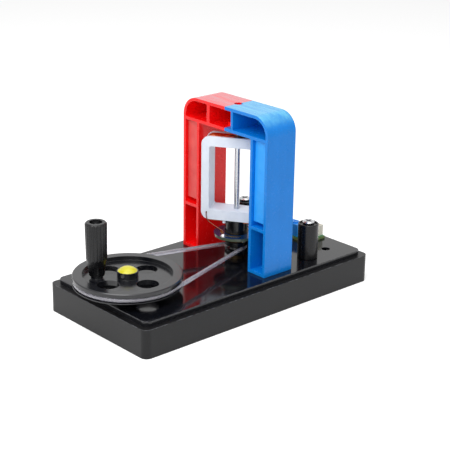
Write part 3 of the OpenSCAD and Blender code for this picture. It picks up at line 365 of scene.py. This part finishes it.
def glossy_plastic(name, colour, roughness, edge, shine=0.5, cloud_size=6.0):
    """Polished injection moulding: faint flow clouds, orange peel and rubbed edges."""
    surface = Surface(name, colour, roughness).set(IOR=1.5, Specular_IOR_Level=shine)
    surface.soften(edge)
    surface.mottle(cloud_size, share=0.35, shade=0.86)
    surface.dull(surface.noise(3.0, detail=4), low=roughness * 0.75, high=roughness * 1.5)
    surface.relief(surface.noise(1.4, detail=2), depth=0.006)
    surface.wear_and_edge_highlight(share=0.35, shade=paler(colour, 1.25, 0.03))
    return surface


def satin_plastic(name, colour, roughness, edge=0.2, grain=0.16, depth=0.012, shine=0.35):
    """Spark-eroded moulding: a fine even grain and slightly paler edges."""
    surface = Surface(name, colour, roughness).set(IOR=1.48, Specular_IOR_Level=shine)
    surface.soften(edge)
    surface.mottle(5.0, share=0.4, shade=0.8)
    surface.dull(surface.noise(1.2, detail=4), low=roughness * 0.85, high=roughness * 1.2)
    surface.relief(surface.noise(grain, detail=3), depth)
    surface.wear_and_edge_highlight(share=0.4, shade=paler(colour, 1.4))
    return surface


def metal(name, colour, roughness=0.2, stretch=None, feature=0.4, depth=0.003):
    """Machined or plated metal: drawn marks, small tarnish patches and broken edges."""
    surface = Surface(name, colour, roughness, metallic=1.0)
    surface.soften(0.08)
    surface.mottle(1.6, share=0.5, shade=0.8)
    marks = surface.noise(feature, detail=4, roughness=0.6, stretch=stretch)
    surface.dull(marks, low=roughness * 0.7, high=roughness * 1.5)
    marks = surface.noise(feature, detail=3, roughness=0.6, stretch=stretch)
    surface.relief(marks, depth)
    return surface


def plate_plastic():
    """Polished black plate: faint long ripples, fine wipe marks, and pale edges that are partly
    rubbed wear and partly a painted highlight.
    """
    surface = Surface("plate_black", linear(13, 14, 19), 0.1).set(IOR=1.5, Specular_IOR_Level=0.47)
    surface.soften(0.35)
    surface.mottle(9.0, share=0.4, shade=0.75)
    surface.scratches(share=0.12, shade=linear(92, 92, 98))
    surface.dull(surface.noise(5.0, detail=4), low=0.07, high=0.17)
    surface.relief(surface.noise(14.0, detail=2), depth=0.012)
    # Pale edge lines: partly rubbed wear and partly a painted highlight along the plate's edges
    surface.wear_and_edge_highlight(share=0.9, shade=linear(116, 118, 124))
    return surface


def arch_plastic(name, colour, shine, top_sheen):
    """Glossy coloured moulding: flow lines up the legs, and a painted reflection on the top, streaks
    of a pale colour on the faces that look up.
    """
    surface = Surface(name, colour, 0.24).set(IOR=1.5, Specular_IOR_Level=shine)
    surface.soften(0.35)
    surface.mottle(2.4, share=0.5, shade=0.86, stretch=(1, 1, 0.05))
    surface.mottle(16.0, share=0.4, shade=1.12)
    surface.scratches(share=0.05, shade=paler(colour, 1.3, 0.05))
    surface.dull(surface.noise(3.0, detail=4), low=0.2, high=0.32)
    surface.relief(surface.noise(3.2, detail=2), depth=0.0025)
    surface.wear_and_edge_highlight(share=0.35, shade=paler(colour, 1.25, 0.03))
    # Painted reflection: pale streaks laid on the faces that look up near the top of the arch
    lines = surface.noise(3.0, detail=4, roughness=0.6, stretch=(1, 0.12, 1))
    streaks = surface.ranged(lines, low=0.3, high=0.7, new_low=0.2, new_high=0.5)
    surface.tint(surface.maths("MULTIPLY", surface.high_tops(104), streaks), top_sheen)
    return surface


def tray_plastic():
    """Satin black skirt: fine grain, slow shade changes, wipe marks, and pale edges that are partly
    rubbed corners and partly a painted highlight.
    """
    surface = satin_plastic("tray_black", linear(12, 12, 14), roughness=0.34, edge=0.5,
                            grain=0.3, depth=0.01, shine=0.33)
    surface.mottle(22.0, share=0.5, shade=1.6)
    surface.scratches(share=0.1, shade=linear(84, 84, 88))
    # Pale edge lines: partly rubbed wear and partly a painted highlight along the skirt's edges
    surface.wear_and_edge_highlight(share=0.9, shade=linear(122, 124, 130))
    return surface


def belt_plastic():
    """Clear soft belt: a little milky and clouded, with a shiny skin."""
    surface = Surface("belt_clear", linear(214, 212, 222), 0.2)
    surface.set(IOR=1.42, Transmission_Weight=0.7, Coat_Weight=0.4, Coat_Roughness=0.1)
    surface.mottle(4.0, share=0.6, shade=0.82)
    surface.clouds(2.2, low=0.4, high=0.75, share=0.4, colour=linear(222, 221, 228))
    surface.dull(surface.noise(2.0, detail=2), low=0.14, high=0.26)
    surface.relief(surface.noise(1.6, detail=2), depth=0.004)
    return surface


def enamel_wire(name, colour):
    """Enamelled copper wire: metal under clear varnish, its shade changing from turn to turn."""
    surface = Surface(name, colour, 0.26, metallic=1.0)
    surface.set(Coat_Weight=0.6, Coat_Roughness=0.1)
    surface.mottle(0.5, share=0.6, shade=0.62)
    surface.clouds(3.0, low=0.45, high=0.7, share=0.45, colour=paler(colour, 1.3))
    surface.dull(surface.noise(0.4, detail=3), low=0.2, high=0.4)
    surface.relief(surface.noise(0.25, detail=2), depth=0.004)
    return surface


def laminate(name, lacquer, roughness, edge, patches, cut):
    """Lacquered board: small patches of another shade, bare laminate on the cut edge."""
    surface = glossy_plastic(name, lacquer, roughness, edge, cloud_size=2.0)
    surface.clouds(0.8, low=0.45, high=0.7, share=0.4, colour=patches)
    surface.tint(surface.upright_faces(), cut)
    return surface


def magnet_skin(name, colour, shade):
    """Painted magnet: lightly pitted, its colour thinner in places."""
    surface = satin_plastic(name, colour, roughness=0.36, edge=0.3,
                            grain=0.5, depth=0.02, shine=0.4)
    surface.clouds(7.0, low=0.4, high=0.7, share=0.5, colour=shade)
    return surface


def moulded_white():
    """White moulding with the slow blue-grey shade of thick translucent plastic."""
    surface = satin_plastic("bobbin_white", linear(228, 235, 246), roughness=0.34, edge=0.3,
                            grain=0.3, depth=0.006)
    surface.clouds(9.0, low=0.4, high=0.7, share=0.5, colour=linear(216, 225, 240))
    return surface


def paint(surface, *node_names):
    """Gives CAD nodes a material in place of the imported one."""
    for name in node_names:
        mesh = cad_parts[name].data
        mesh.materials.clear()
        mesh.materials.append(surface.material)


def paint_base():
    paint(tray_plastic(), "base_shell")
    paint(plate_plastic(), "base_plate")
    paint(satin_plastic("grip_black", linear(12, 12, 14), roughness=0.27, depth=0.008, shine=0.38),
          "handle_grip", "post_front", "post_back")
    paint(satin_plastic("block_black", linear(14, 14, 16), roughness=0.4), "brush_block")
    paint(satin_plastic("wire_red", linear(176, 28, 24), roughness=0.45), "output_wires")
    paint(laminate("board_green", linear(31, 116, 64), roughness=0.25, edge=0.1,
                   patches=linear(48, 140, 82), cut=linear(126, 152, 92)), "circuit_board")
    paint(satin_plastic("socket_ivory", linear(246, 243, 228), roughness=0.4), "board_socket")
    paint(glossy_plastic("trimmer_blue", linear(40, 156, 252), roughness=0.28, edge=0.15,
                         cloud_size=2.0), "board_trimmer")


def paint_drive():
    paint(glossy_plastic("wheel_black", linear(16, 17, 22), roughness=0.18, edge=0.3, shine=0.62),
          "crank_wheel")
    paint(glossy_plastic("pulley_black", linear(11, 11, 13), roughness=0.18, edge=0.3, shine=0.45),
          "rotor_pulley", "rotor_hub")
    paint(glossy_plastic("cap_yellow", linear(218, 210, 50), roughness=0.2, edge=0.2,
                         cloud_size=3.0), "hub_cap")
    paint(belt_plastic(), "drive_belt")


def paint_arch():
    # The pale colours given for the arch tops are painted reflections
    paint(arch_plastic("arch_red", linear(250, 14, 16), shine=0.4, top_sheen=linear(170, 190, 200)),
          "arch_red")
    paint(arch_plastic("arch_blue", linear(4, 127, 219), shine=0.28, top_sheen=linear(149, 243, 243)),
          "arch_blue")
    paint(magnet_skin("magnet_red", linear(224, 72, 70), linear(234, 100, 94)), "magnet_red")
    paint(magnet_skin("magnet_blue", linear(40, 162, 252), linear(60, 174, 255)), "magnet_blue")


def paint_metals():
    paint(metal("shaft_steel", linear(196, 198, 202), stretch=(14, 14, 1), feature=0.5),
          "rotor_shaft", "wheel_axle", "axle_spacer")
    paint(metal("screw_steel", linear(205, 206, 208), roughness=0.18),
          "handle_pin", "axle_screw", "plate_screws", "post_screws", "post_nuts",
          "board_screws", "board_pins")
    paint(metal("segment_copper", linear(198, 132, 92), roughness=0.22), "commutator_segments")
    paint(metal("solder_bright", linear(214, 214, 218), roughness=0.22, feature=0.5, depth=0.03),
          "solder_joints")
    paint(metal("leaf_bronze", linear(210, 198, 170), roughness=0.22, stretch=(14, 1, 1)),
          "brush_leaves")
    paint(metal("bearing_brass", linear(72, 60, 42), roughness=0.4, stretch=(1, 1, 12), feature=0.5),
          "upper_bearing", "lower_bearing")


def paint_coil():
    paint(moulded_white(), "coil_bobbin")
    paint(enamel_wire("pack_copper", linear(150, 78, 44)), "coil_pack")
    paint(laminate("contact_green", linear(14, 44, 84), roughness=0.12, edge=0.12,
                   patches=linear(18, 60, 84), cut=linear(74, 84, 68)), "contact_board")


def node_middle(name):
    """Middle of a CAD node's box."""
    low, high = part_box(name)
    return (Vector(low) + Vector(high)) / 2


def add_piece(name, mesh, surface, body, smooth=True):
    """Shows a mesh as a piece of the object that rides on a CAD body."""
    mesh.materials.append(surface.material)
    for face in mesh.polygons:
        face.use_smooth = smooth
    piece = bpy.data.objects.new(name, mesh)
    bpy.context.scene.collection.objects.link(piece)
    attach(piece, body)
    return piece


def finished_mesh(name, shape):
    """Turns a bmesh into a mesh whose faces all look outwards."""
    mesh = bpy.data.meshes.new(name)
    bmesh.ops.recalc_face_normals(shape, faces=shape.faces)
    shape.to_mesh(mesh)
    shape.free()
    return mesh


def join_rings(shape, near, far):
    """Joins two rings that have the same number of corners with faces."""
    for side in range(len(near)):
        after = (side + 1) % len(near)
        shape.faces.new((near[side], near[after], far[after], far[side]))


def close_ends(shape, rings):
    """Closes the first and the last ring of a row."""
    shape.faces.new(list(reversed(rings[0])))
    shape.faces.new(rings[-1])


def tube_mesh(name, middles, outwards, radius, sides):
    """Round wire along middles. Outwards are unit vectors square to the wire, one a point."""
    shape = bmesh.new()
    last = len(middles) - 1
    rings = []
    for index, (middle, outward) in enumerate(zip(middles, outwards)):
        ahead = middles[min(index + 1, last)] - middles[max(index - 1, 0)]
        across = ahead.normalized().cross(outward).normalized()
        ring = []
        for side in range(sides):
            turn = 2 * math.pi * side / sides
            reach = radius * (math.cos(turn) * outward + math.sin(turn) * across)
            ring.append(shape.verts.new(middle + reach))
        rings.append(ring)
    for near, far in zip(rings, rings[1:]):
        join_rings(shape, near, far)
    close_ends(shape, rings)
    return finished_mesh(name, shape)


# Outer layer of the coil, in the bobbin's own axes: N across the flanges,
# S sideways and Z up from the bobbin's middle. The wire's middle lies WIRE_DEPTH
# inside the flanges' outline and goes from -WIRE_START to WIRE_START along N.
# Within SHAFT_DRAWN of the shaft it is drawn aside, at last to SHAFT_CLEAR,
# and there every other turn rises and the rest dip
BOBBIN_TURN = math.radians(33)
WIRE_RADIUS = 0.25 * MM
WIRE_SIDES = 8
WIRE_TURNS = 16
WIRE_DEPTH = 0.75 * MM
WIRE_START = 4.3 * MM
FLANGE_HALF_WIDTH = 19.6 * MM
FLANGE_CORNER = 4.8 * MM
SHAFT_CLEAR = 1.9 * MM
SHAFT_DRAWN = 8.0 * MM
TURN_RISE = 0.5 * MM
TURN_DIP = 0.25 * MM
END_TUCK = 0.6 * MM
SPAN_TOLERANCE = 0.01 * MM
STEPS_PER_SPAN = 20
STEPS_PER_CORNER = 5
STEPS_PER_SIDE = 4


def smooth_share(value):
    """0 to 1 as the value goes from 0 to 1, without a corner at either end."""
    value = min(1.0, max(0.0, value))
    return value * value * (3 - 2 * value)


def loop_stations(half_width, half_height, corner):
    """One turn as (S, Z, heading outwards, length so far) from the middle of the +S side."""
    points = []
    straight = (half_height - corner, half_width - corner)
    for side in range(4):
        heading = side * math.pi / 2
        run = straight[side % 2]
        reach = (half_width, half_height)[side % 2]
        steps = (STEPS_PER_SIDE, STEPS_PER_SPAN)[side % 2]
        out = Vector((math.cos(heading), math.sin(heading)))
        along = Vector((-math.sin(heading), math.cos(heading)))
        first = steps // 2 if side == 0 else 0
        for step in range(first, steps + 1):
            points.append((out * reach + along * run * (2 * step / steps - 1), heading))
        middle = out * (reach - corner) + along * run
        for step in range(1, STEPS_PER_CORNER):
            angle = heading + math.pi / 2 * step / STEPS_PER_CORNER
            points.append((middle + corner * Vector((math.cos(angle), math.sin(angle))), angle))
    for step in range(STEPS_PER_SIDE // 2):
        place = Vector((half_width, straight[0] * (2 * step / STEPS_PER_SIDE - 1)))
        points.append((place, 2 * math.pi))
    stations = []
    length = 0.0
    before = points[0][0]
    for place, heading in points:
        length += (place - before).length
        before = place
        stations.append((place.x, place.y, heading, length))
    return stations, length + (points[0][0] - before).length


def beside_shaft(place, pitch):
    """Place across the flanges of a turn where it passes the shaft."""
    share = (abs(place) - pitch / 4) / (WIRE_START - pitch / 2)
    return math.copysign(SHAFT_CLEAR + share * (WIRE_START - SHAFT_CLEAR), place)


def winding_mesh():
    """The outer layer of turns as one wire, drawn aside where it passes the shaft."""
    low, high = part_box("coil_bobbin")
    half_width = FLANGE_HALF_WIDTH - WIRE_DEPTH
    half_height = (high[2] - low[2]) / 2 - WIRE_DEPTH
    middle = node_middle("rotor_shaft")
    middle.z = (high[2] + low[2]) / 2
    turned = Matrix.Rotation(BOBBIN_TURN, 3, "Z")
    stations, perimeter = loop_stations(half_width, half_height, FLANGE_CORNER - WIRE_DEPTH)
    pitch = 2 * WIRE_START / WIRE_TURNS
    middles = []
    outwards = []

    def add(across, sideways, height, heading):
        middles.append(middle + turned @ Vector((across, sideways, height)))
        outwards.append(turned @ Vector((0, math.cos(heading), math.sin(heading))))

    add(-WIRE_START, half_width - END_TUCK, 0, 0)
    for turn in range(WIRE_TURNS):
        lift = TURN_RISE if turn % 2 == 0 else -TURN_DIP
        for sideways, height, heading, length in stations:
            place = -WIRE_START + pitch * (turn + length / perimeter)
            near = 0.0
            if abs(height) > half_height - SPAN_TOLERANCE:
                near = smooth_share((SHAFT_DRAWN - abs(sideways)) / (SHAFT_DRAWN - SHAFT_CLEAR))
            across = place + near * (beside_shaft(place, pitch) - place)
            rise = math.copysign(near * lift, height)
            add(across, sideways, height + rise, heading)
    add(WIRE_START, half_width, 0, 0)
    add(WIRE_START, half_width - END_TUCK, 0, 0)
    return tube_mesh("winding", middles, outwards, WIRE_RADIUS, WIRE_SIDES)


def add_winding():
    copper = enamel_wire("coil_copper", linear(212, 114, 62))
    piece = add_piece("winding", winding_mesh(), copper, "rotor")
    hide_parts("coil_winding")


# Route of a lead from its hole in the flange to the contact board, as (N, S) in
# the bobbin's axes and height on the frame's; the other lead is its half turn
LEAD_ROUTE = (
    (Vector((-4.75, 16.4)) * MM, 47.2 * MM),
    (Vector((-6.80, 16.4)) * MM, 47.0 * MM),
    (Vector((-6.85, 15.3)) * MM, 42.6 * MM),
    (Vector((-8.60, 9.4)) * MM, 39.6 * MM),
    (Vector((-9.33, 5.24)) * MM, 37.4 * MM),
    (Vector((-9.33, 5.24)) * MM, 34.9 * MM),
)
LEAD_STEPS = 8
LEAD_SIDES = 10


def smooth_route(points, steps):
    """Points of a smooth curve through all the given ones."""
    route = []
    last = len(points) - 1
    for index in range(last):
        before = points[max(index - 1, 0)]
        start = points[index]
        end = points[index + 1]
        after = points[min(index + 2, last)]
        for step in range(steps):
            t = step / steps
            route.append(0.5 * (2 * start + (end - before) * t
                                + (2 * before - 5 * start + 4 * end - after) * t ** 2
                                + (3 * start - before - 3 * end + after) * t ** 3))
    return route + [points[last]]


def carried_outwards(route, first):
    """One vector square to the route at each point, carried along without a twist."""
    outwards = []
    outward = first
    last = len(route) - 1
    for index in range(len(route)):
        ahead = (route[min(index + 1, last)] - route[max(index - 1, 0)]).normalized()
        outward = (outward - ahead * outward.dot(ahead)).normalized()
        outwards.append(outward)
    return outwards


def add_leads():
    middle = node_middle("rotor_shaft")
    middle.z = 0
    enamel = enamel_wire("lead_copper", linear(128, 62, 38))
    pieces = []
    for name, turn in (("coil_lead_a", BOBBIN_TURN), ("coil_lead_b", BOBBIN_TURN + math.pi)):
        turned = Matrix.Rotation(turn, 3, "Z")
        points = [middle + turned @ Vector((flat.x, flat.y, height)) for flat, height in LEAD_ROUTE]
        route = smooth_route(points, LEAD_STEPS)
        outwards = carried_outwards(route, Vector((0, 0, 1)))
        mesh = tube_mesh(name, route, outwards, WIRE_RADIUS, LEAD_SIDES)
        pieces.append(add_piece(name, mesh, enamel, "rotor"))
    for piece in pieces:
        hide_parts("coil_leads")


# Places of the two soldered ends on the contact board, half a turn apart
JOINT_RADIUS = 10.7 * MM
JOINT_TURN = math.radians(183.7)
JOINT_TURNS = (JOINT_TURN, JOINT_TURN + math.pi)


def level_direction(turn):
    """Unit vector that lies level, turned that far from +X."""
    return Vector((math.cos(turn), math.sin(turn), 0))


def board_top():
    """Middle of the contact board's upper face."""
    middle = node_middle("contact_board")
    middle.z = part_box("contact_board")[1][2]
    return middle


def add_solder_pads():
    """Tinned pads round the two soldered ends of the coil, on the contact board."""
    inner = 0.9 * MM
    outer = 2.1 * MM
    height = 0.07 * MM
    segments = 32
    turns = [2 * math.pi * step / segments for step in range(segments)]
    profile = ((inner, 0), (outer, 0), (outer - height, height), (inner, height))
    top = board_top()
    shape = bmesh.new()
    for joint in JOINT_TURNS:
        place = top + JOINT_RADIUS * level_direction(joint)
        rings = []
        for radius, lift in profile:
            middle = place + Vector((0, 0, lift))
            rings.append([shape.verts.new(middle + radius * level_direction(turn)) for turn in turns])
        for near, far in zip(rings, rings[1:] + rings[:1]):
            join_rings(shape, near, far)
    tin = metal("pad_tin", linear(208, 206, 200), roughness=0.3, feature=0.6, depth=0.01)
    add_piece("solder_pads", finished_mesh("solder_pads", shape), tin, "rotor")


def add_contact_tracks():
    """Metal tracks in two arcs, a little proud of the contact board."""
    height = 0.05 * MM
    width = 1.2 * MM
    radius = 8.7 * MM
    reach = math.radians(62)
    steps = 24
    rise = Vector((0, 0, height))
    top = board_top()
    shape = bmesh.new()
    for joint in JOINT_TURNS:
        rings = []
        for step in range(steps + 1):
            out = level_direction(joint + reach * (2 * step / steps - 1))
            inner = top + out * (radius - width / 2)
            outer = top + out * (radius + width / 2)
            rings.append([shape.verts.new(corner)
                          for corner in (inner, outer, outer + rise, inner + rise)])
        for near, far in zip(rings, rings[1:]):
            join_rings(shape, near, far)
        close_ends(shape, rings)
    gold = metal("track_gold", linear(178, 146, 78), roughness=0.3, feature=0.6, depth=0.006)
    add_piece("contact_tracks", finished_mesh("contact_tracks", shape), gold, "rotor",
              smooth=False)


bpy.context.scene.view_settings.view_transform = "Standard"
add_camera()
set_world()
add_floor()
for lamp_name, settings in LAMPS.items():
    add_lamp(lamp_name, *settings)
paint_base()
paint_drive()
paint_arch()
paint_metals()
paint_coil()
add_winding()
add_leads()
add_solder_pads()
add_contact_tracks()
